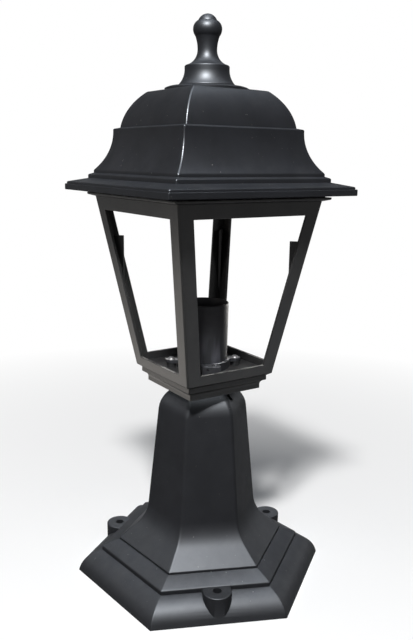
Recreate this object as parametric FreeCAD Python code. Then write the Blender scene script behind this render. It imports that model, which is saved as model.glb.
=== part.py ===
import FreeCAD, Part
import math
import os

# Pedestal lantern: a hollow six-sided pedestal with three screw lugs, a four-sided open lantern
# frame clamped on it by a hollow stem, a screw-cap lamp holder, and a roof that lifts off.
# Millimetres, +Z up, origin on the ground under the middle of the pedestal.
# A "half" is the distance from the vertical axis to the middle of a flat side.

# Pedestal, from the ground up
base_half = 103.9
skirt_run = 19.7
skirt_rise = 19.7
skirt_radius = 25.0
step_rise = 4.0
ledge_run = 14.2
ledge_rise = 6.3
ledge_radius = 80.0
flare_tread = 0.6
flare_lip = 1.7
column_root_half = 46.7
column_root_height = 52.9
flare_blend = 34.0
column_top_half = 35.0
pedestal_height = 184.3
shoulder_radius = 24.0
pedestal_wall = 2.6
pedestal_top = 3.0
pad_thickness = 3.0
pad_margin = 1.5
pedestal_turn = 5.94
vent_width = 4.5
vent_height = 5.0
vent_drop = 5.0
vent_angle = -76.7

# Screw lugs on the pedestal
lug_count = 3
lug_offset = 5.8
lug_root = 11.6
lug_radius = 12.8
lug_hole = 8.0

# Tray mouldings under the lantern frame
plinth_half = 38.0
plinth_rise = 5.2
lower_cove = 3.3
band_half = 42.4
band_rise = 4.5
upper_cove = 2.5

# Lantern frame
frame_foot_half = 46.3
frame_top_half = 73.3
frame_rise = 157.1
frame_wall = 2.6
post_width = 13.9
sill_rise = 9.4
head_rail = 11.8
lip_half = 79.0
lip_slope = 1.6
lip_edge = 1.9
floor_thickness = 2.5
fin_height = 121.7
fin_reach = 76.5
fin_thickness = 2.4
tray_boss_radius = 12.0
pillar_radius = 4.5
pillar_rise = 4.2

# Roof, from the eave up
roof_wall = 2.4
eave_gap = 1.8
eave_half = 94.1
eave_rim = 5.4
eave_step = 1.4
eave_step_rise = 2.0
pitch_rise = 3.4
collar_half = 78.0
collar_rise = 3.3
collar_slope = 1.5
flare_foot_half = 74.1
flare_foot_rise = 2.4
roof_flare_radius = 50.0
cornice_half = 60.6
cornice_height = 33.8
cornice_rise = 2.5
cornice_slope = 1.1
dome_foot_half = 55.9
dome_top_half = 38.2
dome_rise = 30.6
dome_radius = 49.0
cap_half = 18.0
cap_rise = 3.0
boss_foot_radius = 36.6
boss_edge = 2.0
boss_radius = 14.0
boss_top_radius = 30.0
boss_rise = 3.8
seat_offset = 1.6
spigot_clearance = 0.6
spigot_depth = 6.0

# Finial
finial_inset = 5.2
bell_rim = 1.2
bell_radius = 18.0
bell_rise = 11.8
bell_top_radius = 19.4
bell_edge = 3.4
shoulder_round = 2.0
shoulder_rise = 1.2
neck_foot_radius = 17.8
neck_rise = 12.5
neck_radius = 8.4
throat_rise = 11.1
ball_foot_radius = 10.4
ball_lower_rise = 5.7
ball_radius = 12.4
ball_upper_rise = 6.5
ball_top_radius = 8.8
crease = 0.6
tip_rise = 5.8

# Finial stud
stud_diameter = 6.0
stud_in_finial = 18.0
stud_below = 9.0
stud_washer_radius = 9.0
stud_washer_thickness = 1.6
stud_nut_flats = 10.0
stud_nut_height = 5.0

# Hollow stem through tray and pedestal top
stem_diameter = 10.0
stem_bore = 7.0
stem_below = 12.0
stem_clearance = 0.25
thread_clearance = 0.1
stem_washer_radius = 11.0
stem_washer_thickness = 1.6
stem_nut_flats = 17.0
stem_nut_height = 5.0
stem_proud = 1.5

# Lamp holder
holder_collar_radius = 24.5
holder_collar_rise = 7.2
holder_cavity_margin = 1.0
holder_headroom = 1.6
holder_ceiling = 2.5
ear_angle = -25.0
ear_overhang = 5.5
ear_radius = 5.2
ear_thickness = 3.0
screw_diameter = 3.5
screw_head_radius = 3.4
screw_head_rise = 2.2
screw_depth = 6.0
slot_width = 0.9
slot_depth = 1.0
sleeve_foot_radius = 22.0
sleeve_top_radius = 22.8
sleeve_height = 53.5
sleeve_wall = 2.6
sleeve_edge = 0.8
insulator_rise = 5.0
fit_clearance = 0.2
cap_shell_radius = 14.3
cap_shell_wall = 0.7
cap_shell_rise = 25.0
contact_thickness = 0.6
contact_width = 6.0
contact_foot = 7.0
contact_climb = 5.0
side_contact_rise = 9.0
lead_diameter = 2.4
lead_spread = 5.0
lead_bend = 5.0
lead_height = 4.5

# Terminal block on the tray floor
block_angle = -112.0
block_gap = 4.0
block_width = 17.0
block_depth = 9.0
block_rise = 9.0
block_screw_radius = 1.9
block_screw_spacing = 8.0
block_screw_depth = 5.0

# Heights that follow from the sizes above
step_half = base_half - skirt_run
step_top = skirt_rise + step_rise
lug_reach = step_half + lug_offset
ledge_top = step_top + ledge_rise
flare_foot = ledge_top + flare_lip
pad_foot = pedestal_height - pedestal_top - pad_thickness
frame_foot = pedestal_height + plinth_rise + lower_cove + band_rise + upper_cove
floor_top = frame_foot + floor_thickness
sill_top = frame_foot + sill_rise
frame_top = frame_foot + frame_rise
window_top = frame_top - head_rail
lip_top = frame_top + lip_slope + lip_edge
eave_foot = lip_top + eave_gap
pitch_foot = eave_foot + eave_rim + eave_step_rise
collar_foot = pitch_foot + pitch_rise
flare_base = collar_foot + collar_rise + collar_slope
flare_start = flare_base + flare_foot_rise
cornice_foot = flare_start + cornice_height
dome_foot = cornice_foot + cornice_rise + cornice_slope
dome_top = dome_foot + dome_rise
boss_top = dome_top + boss_rise
frame_lean = (frame_top_half - frame_foot_half) / frame_rise
upper_nut_foot = floor_top + stem_washer_thickness
stem_top = upper_nut_foot + stem_nut_height + stem_proud
lower_washer_foot = pad_foot - stem_washer_thickness
lower_nut_foot = lower_washer_foot - stem_nut_height
collar_top = floor_top + holder_collar_rise
cavity_top = stem_top + holder_headroom
insulator_foot = cavity_top + holder_ceiling
insulator_top = insulator_foot + insulator_rise

# Widths that follow from the sizes above
cavity_radius = stem_washer_radius + holder_cavity_margin
sleeve_bore = sleeve_foot_radius - sleeve_wall
spigot_radius = sleeve_bore - fit_clearance
ear_reach = holder_collar_radius + ear_overhang
block_reach = holder_collar_radius + block_gap + block_depth / 2


def point(half, height):
    return FreeCAD.Vector(half, 0, height)


def blend(before, corner, after, radius):
    # Points where a rounding of this radius leaves the two straight runs that meet at a corner.
    run_in = (before[0] - corner[0], before[1] - corner[1])
    run_out = (after[0] - corner[0], after[1] - corner[1])
    turn = math.atan2(run_out[1], run_out[0]) - math.atan2(run_in[1], run_in[0])
    length = abs(radius / math.tan(turn / 2))
    reach_in = length / math.hypot(*run_in)
    reach_out = length / math.hypot(*run_out)
    start = (corner[0] + run_in[0] * reach_in, corner[1] + run_in[1] * reach_in)
    end = (corner[0] + run_out[0] * reach_out, corner[1] + run_out[1] * reach_out)
    return start, end


def arc_middle(start, end, radius):
    # A positive radius bulges to the right of the way from start to end, a negative one to the left.
    run = (end[0] - start[0], end[1] - start[1])
    chord = math.hypot(*run)
    rise = abs(radius) - math.sqrt(radius * radius - chord * chord / 4)
    side = math.copysign(rise, radius) / chord
    return (start[0] + end[0]) / 2 + run[1] * side, (start[1] + end[1]) / 2 - run[0] * side


def quarter_radius(depth, length):
    # Radius of an arc that starts along a run of this length and ends this depth off it.
    return (depth ** 2 + length ** 2) / (2 * depth)


def outline(steps):
    # Edges of a half outline: a step is (half, height), with a radius where an arc leads to it.
    edges = []
    for last, step in zip(steps, steps[1:]):
        start = point(*last[:2])
        end = point(*step[:2])
        if len(step) == 3:
            middle = point(*arc_middle(last, step, step[2]))
            edges.append(Part.Arc(start, middle, end).toShape())
        else:
            edges.append(Part.LineSegment(start, end).toShape())
    return edges


def shifted(steps, inward, down):
    return [(step[0] - inward, step[1] - down) + tuple(step[2:]) for step in steps]


def many_sided(sides, steps):
    # A solid with this many equal sides, each the same outline carried straight across.
    right = outline(steps)
    left = [edge.mirror(FreeCAD.Vector(), FreeCAD.Vector(1, 0, 0)) for edge in right]
    foot, head = steps[0], steps[-1]
    ends = [outline([(-foot[0], foot[1]), foot[:2]])[0], outline([(-head[0], head[1]), head[:2]])[0]]
    face = Part.Face(Part.Wire(Part.__sortEdges__(right + left + ends)))
    span = 2 * max(step[0] for step in steps)
    slab = face.extrude(FreeCAD.Vector(0, 2 * span, 0))
    slab.translate(FreeCAD.Vector(0, -span, 0))
    solid = slab
    for number in range(1, sides // 2):
        solid = solid.common(turned(slab, 360.0 / sides * number))
    return solid


def turned(shape, angle):
    copy = shape.copy()
    copy.rotate(FreeCAD.Vector(), FreeCAD.Vector(0, 0, 1), angle)
    return copy


def moved(shape, x, y, z):
    copy = shape.copy()
    copy.translate(FreeCAD.Vector(x, y, z))
    return copy


def lathe(steps):
    # A turned solid: the half outline, closed along the axis if it starts and ends there.
    edges = outline(list(steps) + [steps[0][:2]])
    return Part.Face(Part.Wire(edges)).revolve(FreeCAD.Vector(), FreeCAD.Vector(0, 0, 1), 360)


def cylinder(radius, height, x=0.0, y=0.0, z=0.0):
    return Part.makeCylinder(radius, height, FreeCAD.Vector(x, y, z))


def ring(outer, inner, height, z):
    return cylinder(outer, height, z=z).cut(cylinder(inner, height, z=z))


def square_bar(half, low, high):
    return Part.makeBox(2 * half, 2 * half, high - low, FreeCAD.Vector(-half, -half, low))


def square_wall(half, wall, low, high):
    return square_bar(half, low, high).cut(square_bar(half - wall, low, high))


def hexagon_nut(flats, bore, height, z):
    corner = flats / math.sqrt(3)
    corners = [FreeCAD.Vector(*at_angle(corner, 60 * number), z) for number in range(7)]
    body = Part.Face(Part.makePolygon(corners)).extrude(FreeCAD.Vector(0, 0, height))
    chamfer = (corner - flats / 2) / 2
    round_body = lathe([(0, z), (flats / 2, z), (corner, z + chamfer), (corner, z + height - chamfer),
                        (flats / 2, z + height), (0, z + height)])
    return body.common(round_body).cut(cylinder(bore, height, z=z))


def at_angle(radius, angle):
    return radius * math.cos(math.radians(angle)), radius * math.sin(math.radians(angle))


def frame_half(height):
    return frame_foot_half + frame_lean * (height - frame_foot)


def pedestal_outline():
    ledge_half = step_half - ledge_run
    foot = (ledge_half - flare_tread, flare_foot)
    root = (column_root_half, column_root_height)
    crown = (column_top_half, pedestal_height)
    root_in, root_out = blend(foot, root, crown, flare_blend)
    crown_in, crown_out = blend(root, crown, (0, pedestal_height), shoulder_radius)
    return [(base_half, 0), (step_half, skirt_rise, skirt_radius), (step_half, step_top),
            (ledge_half, ledge_top, ledge_radius), (foot[0], ledge_top), foot, root_in,
            root_out + (-flare_blend,), crown_in, crown_out + (shoulder_radius,)]


def pedestal():
    steps = pedestal_outline()
    shell = many_sided(6, steps).cut(many_sided(6, shifted(steps, pedestal_wall, pedestal_top)))
    # The ends of the lugs stand clear of the skirt, their tails run in under the ledge.
    tail = lug_offset + lug_root
    for number in range(lug_count):
        lug = cylinder(lug_radius, step_top, x=lug_reach)
        web = Part.makeBox(tail, 2 * lug_radius, step_top,
                           FreeCAD.Vector(lug_reach - tail, -lug_radius, 0))
        hole = cylinder(lug_hole / 2, step_top, x=lug_reach)
        angle = 360.0 / lug_count * number
        shell = shell.fuse(turned(lug.fuse(web), angle)).cut(turned(hole, angle))
    # A round pad under the top gives the lower washer a flat seat.
    shell = shell.fuse(cylinder(stem_washer_radius + pad_margin, pedestal_height - pad_foot, z=pad_foot))
    shell = shell.cut(cylinder(stem_diameter / 2 + stem_clearance, pedestal_height))
    # One small vent slot through the shoulder, under the lantern.
    vent = Part.makeBox(column_root_half, vent_width, vent_height,
                        FreeCAD.Vector(0, -vent_width / 2, pedestal_height - vent_drop - vent_height))
    return turned(shell.cut(turned(vent, vent_angle)).removeSplitter(), pedestal_turn)


def tray_steps():
    plinth_top = pedestal_height + plinth_rise
    band_foot = plinth_top + lower_cove
    band_top = band_foot + band_rise
    return [(plinth_half, pedestal_height), (plinth_half, plinth_top), (band_half, band_foot),
            (band_half, band_top), (frame_foot_half, frame_foot)]


def frame_fin():
    # A diagonal web in the corner of a post, with a level top and an upright inner edge.
    top = frame_foot + fin_height
    corner = math.sqrt(2)
    buried = (frame_half(top) - frame_wall / 2) * corner
    foot = frame_foot + (fin_reach / corner + frame_wall / 2 - frame_foot_half) / frame_lean
    edges = [point(fin_reach, foot), point(buried, top), point(fin_reach, top), point(fin_reach, foot)]
    fin = Part.Face(Part.makePolygon(edges)).extrude(FreeCAD.Vector(0, fin_thickness, 0))
    return moved(fin, 0, -fin_thickness / 2, 0)


def lantern_frame():
    lip = [(lip_half, frame_top + lip_slope), (lip_half, lip_top)]
    walls = tray_steps() + [(frame_top_half, frame_top)]
    inner = shifted(walls + [(frame_top_half, lip_top)], frame_wall, 0)
    body = many_sided(4, walls + lip).cut(many_sided(4, inner))
    # Four windows: the posts keep their width, so the openings taper with the frame.
    low, high = frame_half(sill_top) - post_width, frame_half(window_top) - post_width
    corners = [point(-low, sill_top), point(low, sill_top), point(high, window_top),
               point(-high, window_top), point(-low, sill_top)]
    window = Part.Face(Part.makePolygon(corners)).extrude(FreeCAD.Vector(0, 2 * lip_half, 0))
    window = moved(window, 0, -lip_half, 0)
    body = body.cut(window).cut(turned(window, 90))
    for number in range(4):
        body = body.fuse(turned(frame_fin(), 45 + 90 * number))
    floor_half = frame_foot_half - frame_wall / 2
    floor = square_bar(floor_half, frame_foot, floor_top)
    body = body.fuse(floor).fuse(cylinder(tray_boss_radius, frame_foot - pedestal_height, z=pedestal_height))
    for side in (0, 180):
        x, y = at_angle(ear_reach, ear_angle + side)
        body = body.fuse(cylinder(pillar_radius, pillar_rise, x, y, floor_top))
        body = body.cut(cylinder(screw_diameter / 2 + thread_clearance, pillar_rise + floor_thickness / 2,
                                 x, y, floor_top - floor_thickness / 2))
    bore = cylinder(stem_diameter / 2 + stem_clearance, floor_top - pedestal_height, z=pedestal_height)
    return body.cut(bore).removeSplitter()


def roof_steps():
    return [(eave_half, eave_foot), (eave_half, eave_foot + eave_rim),
            (eave_half - eave_step, eave_foot + eave_rim), (eave_half - eave_step, pitch_foot),
            (collar_half, collar_foot), (collar_half, collar_foot + collar_rise),
            (flare_foot_half, flare_base), (flare_foot_half, flare_start),
            (cornice_half, cornice_foot, -roof_flare_radius),
            (cornice_half, cornice_foot + cornice_rise), (dome_foot_half, dome_foot),
            (dome_top_half, dome_top, dome_radius), (cap_half, dome_top + cap_rise)]


def roof_shell():
    steps = roof_steps()
    boss = lathe([(0, dome_foot), (boss_foot_radius, dome_foot), (boss_foot_radius, dome_top + boss_edge),
                  (boss_top_radius, boss_top, boss_radius), (0, boss_top)])
    solid = many_sided(4, steps).fuse(boss)
    shell = solid.cut(many_sided(4, shifted(steps, roof_wall, roof_wall)))
    inner_foot = boss_foot_radius - roof_wall
    inner_top = boss_top - roof_wall
    hollow = lathe([(0, dome_foot), (inner_foot, dome_foot), (inner_foot, dome_top + boss_edge - roof_wall),
                    (boss_top_radius - roof_wall, inner_top, boss_radius), (0, inner_top)])
    shell = shell.cut(hollow)
    # A seat wall stands on the lip of the frame, and a spigot wall reaches inside it.
    spigot_foot = lip_top - spigot_depth
    seat_half = frame_top_half - frame_wall + seat_offset + roof_wall
    spigot_half = frame_half(spigot_foot) - frame_wall - spigot_clearance
    seat = square_wall(seat_half, roof_wall, lip_top, cornice_foot)
    spigot = square_wall(spigot_half, roof_wall, spigot_foot, cornice_foot)
    walls = seat.fuse(spigot).common(many_sided(4, [(eave_half, spigot_foot)] + steps))
    hole = cylinder(stud_diameter / 2 + stem_clearance, boss_top)
    return shell.fuse(walls).cut(hole).removeSplitter()


def finial():
    z = boss_top
    foot_radius = boss_top_radius - finial_inset
    rim_top = z + bell_rim
    bell_top = rim_top + bell_rise
    edge_top = bell_top + bell_edge
    neck_foot = edge_top + shoulder_rise
    neck = neck_foot + neck_rise
    ball_foot = neck + throat_rise
    ball = ball_foot + ball_lower_rise
    ball_top = ball + ball_upper_rise
    tip_radius = ball_top_radius - crease
    lower_neck = quarter_radius(neck_foot_radius - neck_radius, neck_rise)
    throat = quarter_radius(ball_foot_radius - neck_radius, throat_rise)
    lower_ball = quarter_radius(ball_radius - ball_foot_radius, ball_lower_rise)
    upper_ball = quarter_radius(ball_radius - ball_top_radius, ball_upper_rise)
    tip = quarter_radius(tip_rise, tip_radius)
    body = lathe([(0, z), (foot_radius, z), (foot_radius, rim_top), (bell_top_radius, bell_top, -bell_radius),
                  (bell_top_radius, edge_top), (neck_foot_radius, neck_foot, shoulder_round),
                  (neck_radius, neck, -lower_neck), (ball_foot_radius, ball_foot, -throat),
                  (ball_radius, ball, lower_ball), (ball_top_radius, ball_top, upper_ball),
                  (tip_radius, ball_top), (0, ball_top + tip_rise, tip)])
    return body.cut(cylinder(stud_diameter / 2 + thread_clearance, stud_in_finial, z=z))


def finial_stud():
    return cylinder(stud_diameter / 2, stud_in_finial + roof_wall + stud_below,
                    z=boss_top - roof_wall - stud_below)


def finial_washer():
    return ring(stud_washer_radius, stud_diameter / 2 + thread_clearance, stud_washer_thickness,
                boss_top - roof_wall - stud_washer_thickness)


def finial_nut():
    return hexagon_nut(stud_nut_flats, stud_diameter / 2 + thread_clearance, stud_nut_height,
                       boss_top - roof_wall - stud_washer_thickness - stud_nut_height)


def stem_tube():
    low = pad_foot - stem_below
    return ring(stem_diameter / 2, stem_bore / 2, stem_top - low, low)


def stem_washer(z):
    return ring(stem_washer_radius, stem_diameter / 2 + thread_clearance, stem_washer_thickness, z)


def stem_nut(z):
    return hexagon_nut(stem_nut_flats, stem_diameter / 2 + thread_clearance, stem_nut_height, z)


def holder_base():
    # Round collar over the stem nut, with two ears that stand on the tray pillars.
    body = cylinder(holder_collar_radius, holder_collar_rise, z=floor_top)
    body = body.fuse(cylinder(spigot_radius, insulator_foot - floor_top, z=floor_top))
    ear_foot = floor_top + pillar_rise
    for side in (0, 180):
        ear = Part.makeBox(ear_reach, 2 * ear_radius, ear_thickness, FreeCAD.Vector(0, -ear_radius, ear_foot))
        ear = ear.fuse(cylinder(ear_radius, ear_thickness, ear_reach, 0, ear_foot))
        ear = ear.cut(cylinder(screw_diameter / 2 + thread_clearance, ear_thickness, ear_reach, 0, ear_foot))
        body = body.fuse(turned(ear, ear_angle + side))
    body = body.cut(cylinder(cavity_radius, cavity_top - floor_top, z=floor_top))
    for offset in (-lead_spread / 2, lead_spread / 2):
        body = body.cut(lead_way(offset, fit_clearance))
    return body.removeSplitter()


def lead_path(offset):
    # From the terminal block straight in over the floor, then up through the ceiling of the collar.
    low = floor_top + lead_height
    inner = (cavity_radius + spigot_radius) / 2
    start = FreeCAD.Vector(block_reach - block_depth / 2, offset, low)
    turn_in = FreeCAD.Vector(inner + lead_bend, offset, low)
    slant = lead_bend * (1 - math.sqrt(0.5))
    middle = FreeCAD.Vector(inner + slant, offset, low + slant)
    turn_out = FreeCAD.Vector(inner, offset, low + lead_bend)
    end = FreeCAD.Vector(inner, offset, insulator_foot)
    run_in = Part.LineSegment(start, turn_in).toShape()
    bend = Part.Arc(turn_in, middle, turn_out).toShape()
    rise = Part.LineSegment(turn_out, end).toShape()
    return Part.Wire([run_in, bend, rise])


def lead_way(offset, clearance):
    path = lead_path(offset)
    start = path.Vertexes[0].Point
    circle = Part.Circle(start, FreeCAD.Vector(1, 0, 0), lead_diameter / 2 + clearance).toShape()
    tube = path.makePipeShell([Part.Wire(circle)], True, False)
    return turned(tube, block_angle)


def holder_sleeve():
    # A plain tube that widens a little upwards, with its upper rim rounded.
    low, high = collar_top, collar_top + sleeve_height
    body = lathe([(0, low), (sleeve_foot_radius, low), (sleeve_top_radius, high - sleeve_edge),
                  (sleeve_top_radius - sleeve_edge, high, sleeve_edge), (0, high)])
    return body.cut(cylinder(sleeve_bore, sleeve_height, z=low))


def lamp_insulator():
    body = cylinder(spigot_radius, insulator_rise, z=insulator_foot)
    for x in contact_screw_places():
        body = body.cut(cylinder(screw_diameter / 2 + thread_clearance, insulator_rise, x, 0, insulator_foot))
    return body


def contact_screw_places():
    return (-contact_foot, contact_foot)


def cap_shell():
    flange = ring(spigot_radius, cap_shell_radius - cap_shell_wall, cap_shell_wall, insulator_top)
    tube = ring(cap_shell_radius, cap_shell_radius - cap_shell_wall, cap_shell_rise, insulator_top)
    return flange.fuse(tube).removeSplitter()


def contact_strip(points, width):
    # A bent strip, drawn as its edge line from the side, with the thickness above the line.
    upper = [(x, z + contact_thickness) for x, z in reversed(points)]
    corners = [point(x, z) for x, z in list(points) + upper + [points[0]]]
    strip = Part.Face(Part.makePolygon(corners)).extrude(FreeCAD.Vector(0, width, 0))
    return moved(strip, 0, -width / 2, 0)


def centre_contact():
    low = insulator_top
    strip = contact_strip([(-contact_foot - contact_width / 2, low), (-contact_width / 2, low),
                           (0, low + contact_climb), (contact_width / 2, low + contact_climb)], contact_width)
    return strip.cut(cylinder(screw_diameter / 2 + thread_clearance, contact_climb, -contact_foot, 0, low))


def side_contact():
    low = insulator_top
    wall = cap_shell_radius - cap_shell_wall - fit_clearance
    foot = Part.makeBox(wall - contact_foot + contact_width / 2, contact_width, contact_thickness,
                        FreeCAD.Vector(contact_foot - contact_width / 2, -contact_width / 2, low))
    inner = math.sqrt(wall ** 2 - contact_width ** 2 / 4)
    blade = Part.makeBox(contact_thickness, contact_width, side_contact_rise,
                         FreeCAD.Vector(inner - contact_thickness, -contact_width / 2, low))
    body = foot.common(cylinder(wall, contact_thickness, z=low)).fuse(blade)
    hole = cylinder(screw_diameter / 2 + thread_clearance, contact_thickness, contact_foot, 0, low)
    return body.cut(hole).removeSplitter()


def slotted_screw(x, y, seat, depth, angle):
    # Domed head with a straight slot, standing on its seat with the shank below.
    dome = quarter_radius(screw_head_rise, screw_head_radius)
    body = lathe([(0, -depth), (screw_diameter / 2, -depth), (screw_diameter / 2, 0), (screw_head_radius, 0),
                  (0, screw_head_rise, dome)])
    slot = Part.makeBox(2 * screw_head_radius, slot_width, slot_depth,
                        FreeCAD.Vector(-screw_head_radius, -slot_width / 2, screw_head_rise - slot_depth))
    return moved(turned(body.cut(slot), angle), x, y, seat)


def contact_screws():
    left, right = contact_screw_places()
    seat = insulator_top + contact_thickness
    depth = insulator_rise + contact_thickness
    return [slotted_screw(left, 0, seat, depth, 20), slotted_screw(right, 0, seat, depth, 70)]


def ear_screws():
    seat = floor_top + pillar_rise + ear_thickness
    return [slotted_screw(*at_angle(ear_reach, ear_angle + side), seat, screw_depth, ear_angle + side / 3)
            for side in (0, 180)]


def terminal_places():
    return [(block_reach, side * block_screw_spacing / 2) for side in (-1, 1)]


def terminal_block():
    body = Part.makeBox(block_depth, block_width, block_rise,
                        FreeCAD.Vector(block_reach - block_depth / 2, -block_width / 2, floor_top))
    for x, y in terminal_places():
        body = body.cut(cylinder(block_screw_radius + thread_clearance, block_screw_depth, x, y,
                                 floor_top + block_rise - block_screw_depth))
    return turned(body, block_angle)


def terminal_screws():
    screws = []
    top = floor_top + block_rise
    for x, y in terminal_places():
        body = cylinder(block_screw_radius, block_screw_depth - slot_depth / 2, x, y, top - block_screw_depth)
        slot_foot = top - 3 * slot_depth / 2
        slot = Part.makeBox(2 * block_screw_radius, slot_width, slot_depth,
                            FreeCAD.Vector(x - block_screw_radius, y - slot_width / 2, slot_foot))
        screws.append(turned(body.cut(slot), block_angle))
    return screws


parts = {
    "pedestal": pedestal(),
    "lantern_frame": lantern_frame(),
    "roof_shell": roof_shell(),
    "finial": finial(),
    "finial_stud": finial_stud(),
    "finial_washer": finial_washer(),
    "finial_nut": finial_nut(),
    "stem_tube": stem_tube(),
    "upper_stem_washer": stem_washer(floor_top),
    "upper_stem_nut": stem_nut(upper_nut_foot),
    "lower_stem_washer": stem_washer(lower_washer_foot),
    "lower_stem_nut": stem_nut(lower_nut_foot),
    "holder_base": holder_base(),
    "holder_sleeve": holder_sleeve(),
    "lamp_insulator": lamp_insulator(),
    "cap_shell": cap_shell(),
    "centre_contact": centre_contact(),
    "side_contact": side_contact(),
    "contact_screws": Part.makeCompound(contact_screws()),
    "ear_screws": Part.makeCompound(ear_screws()),
    "terminal_block": terminal_block(),
    "terminal_screws": Part.makeCompound(terminal_screws()),
    "live_lead": lead_way(-lead_spread / 2, 0),
    "neutral_lead": lead_way(lead_spread / 2, 0),
}

os.makedirs("parts", exist_ok=True)
for name, shape in parts.items():
    shape.exportStep("parts/" + name + ".step")
    state = "valid" if shape.isValid() else "NOT VALID"
    print(name, len(shape.Solids), "solids", round(shape.Volume), "mm3", state)
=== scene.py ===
import math

import bmesh
import bpy
from mathutils import Matrix, Vector


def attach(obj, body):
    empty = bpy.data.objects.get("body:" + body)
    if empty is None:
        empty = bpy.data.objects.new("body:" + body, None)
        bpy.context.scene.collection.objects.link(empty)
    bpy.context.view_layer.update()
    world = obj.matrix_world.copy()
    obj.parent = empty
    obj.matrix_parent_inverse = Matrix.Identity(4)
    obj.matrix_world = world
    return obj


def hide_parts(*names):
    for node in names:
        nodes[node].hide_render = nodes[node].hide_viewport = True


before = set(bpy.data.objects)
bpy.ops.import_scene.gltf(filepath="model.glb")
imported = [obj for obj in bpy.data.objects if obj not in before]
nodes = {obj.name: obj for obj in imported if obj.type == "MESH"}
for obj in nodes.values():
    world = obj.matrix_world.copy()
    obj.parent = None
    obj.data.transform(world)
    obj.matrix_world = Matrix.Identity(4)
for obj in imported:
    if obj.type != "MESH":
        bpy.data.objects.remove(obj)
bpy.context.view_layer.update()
mm = 0.001                                  # piece sizes below are in millimetres
near = dict(merge=1e-6, clean=2e-6, axis=1e-9, plane=1e-4)    # how close counts as the same
print("frame loaded with", len(nodes), "nodes")


# Outlines are drawn in the XZ plane: X is the distance from the axis, Z the height

def addCorner(bm, last, half, height):
    corner = bm.verts.new((half * mm, 0, height * mm))
    if last:
        bm.edges.new((last, corner))
    return corner


def addArc(bm, last, half, height, radius, steps):
    # a positive radius bulges to the right of the way to the new point
    start = Vector((last.co.x, last.co.z))
    end = Vector((half * mm, height * mm))
    run = end - start
    right = Vector((run.y, -run.x)).normalized()
    depth = math.sqrt((radius * mm) ** 2 - run.length_squared / 4)
    centre = (start + end) / 2 - right * math.copysign(depth, radius)
    angle = 2 * math.asin(run.length / (2 * abs(radius) * mm))
    axis = (0, -1, 0) if radius > 0 else (0, 1, 0)
    made = bmesh.ops.spin(bm, geom=[last], cent=(centre.x, 0, centre.y), axis=axis, angle=angle, steps=steps)
    return vertsOf(made["geom_last"])[0]


def vertsOf(geom):
    return [item for item in geom if isinstance(item, bmesh.types.BMVert)]


def allOf(bm):
    return bm.verts[:] + bm.edges[:] + bm.faces[:]


def drawOutline(points, arcSteps=10, closed=True):
    # a point is (half, height), with a radius where an arc leads to it
    bm = bmesh.new()
    first = last = addCorner(bm, None, *points[0][:2])
    for point in points[1:]:
        if len(point) == 3:
            last = addArc(bm, last, *point, arcSteps)
        else:
            last = addCorner(bm, last, *point)
    if closed:
        bm.edges.new((last, first))
    return bm


def spinSides(bm, sides, firstCorner=0.0):
    # the outline of a flat side goes out to the corner, and is swept round with one step for each side
    bmesh.ops.scale(bm, vec=(1 / math.cos(math.pi / sides), 1, 1), verts=bm.verts)
    bmesh.ops.rotate(bm, matrix=Matrix.Rotation(math.radians(firstCorner), 3, "Z"), verts=bm.verts)
    spinRound(bm, sides)


def spinRound(bm, steps):
    bmesh.ops.spin(bm, geom=bm.verts[:] + bm.edges[:], axis=(0, 0, 1), angle=math.tau, steps=steps,
                   use_merge=True)
    bmesh.ops.remove_doubles(bm, verts=bm.verts, dist=near["merge"])
    bmesh.ops.recalc_face_normals(bm, faces=bm.faces)


def hollowOutline(outer, inward, down):
    # the same outline, moved in and down, from its top back to its foot
    inner = [(point[0] - inward, point[1] - down) + tuple(-r for r in point[2:]) for point in outer]
    back = [inner[-1][:2]]
    for later, point in zip(inner[:0:-1], inner[-2::-1]):
        back.append(point[:2] + later[2:])
    return back


def cutBelow(bm, height):
    # takes off what lies under this height and closes the rims
    bmesh.ops.bisect_plane(bm, geom=allOf(bm), plane_co=(0, 0, height * mm), plane_no=(0, 0, -1),
                           clear_outer=True)
    bmesh.ops.bridge_loops(bm, edges=[edge for edge in bm.edges if edge.is_boundary])
    bmesh.ops.recalc_face_normals(bm, faces=bm.faces)


def repeatRound(bm, count, firstAngle):
    bmesh.ops.rotate(bm, matrix=Matrix.Rotation(math.radians(firstAngle), 3, "Z"), verts=bm.verts)
    source = allOf(bm)
    for number in range(1, count):
        copy = bmesh.ops.duplicate(bm, geom=source)["geom"]
        bmesh.ops.rotate(bm, matrix=Matrix.Rotation(math.tau * number / count, 3, "Z"), verts=vertsOf(copy))


def isHip(edge):
    # runs up or down in a plane through the axis
    a, b = (vert.co.xy for vert in edge.verts)
    reach = a.length * b.length
    return reach > near["axis"] and abs(a.cross(b)) < near["plane"] * reach


def weighEdges(bm, hipWeight, edgeWeight, sharp=10):
    # hips and other outward edges get their share of the bevel's width
    layer = bm.edges.layers.float.new("bevel_weight_edge")
    for edge in bm.edges:
        if len(edge.link_faces) != 2 or not edge.is_convex:
            continue
        if edge.calc_face_angle() < math.radians(sharp):
            continue
        middle = (edge.verts[0].co + edge.verts[1].co) / 2
        edge[layer] = hipWeight(middle.z / mm) if isHip(edge) else edgeWeight(middle.z / mm)


def makeObject(name, bm, *materials):
    mesh = bpy.data.meshes.new(name)
    for material in materials:
        mesh.materials.append(material)
    bm.to_mesh(mesh)
    bm.free()
    piece = bpy.data.objects.new(name, mesh)
    bpy.context.scene.collection.objects.link(piece)
    return piece


def addBevel(piece, width, segments=3, clamp=False):
    bevel = piece.modifiers.new("roundedEdges", "BEVEL")
    bevel.width = width * mm
    bevel.segments = segments
    bevel.profile = 0.5
    bevel.limit_method = "WEIGHT"
    bevel.use_clamp_overlap = clamp


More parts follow.
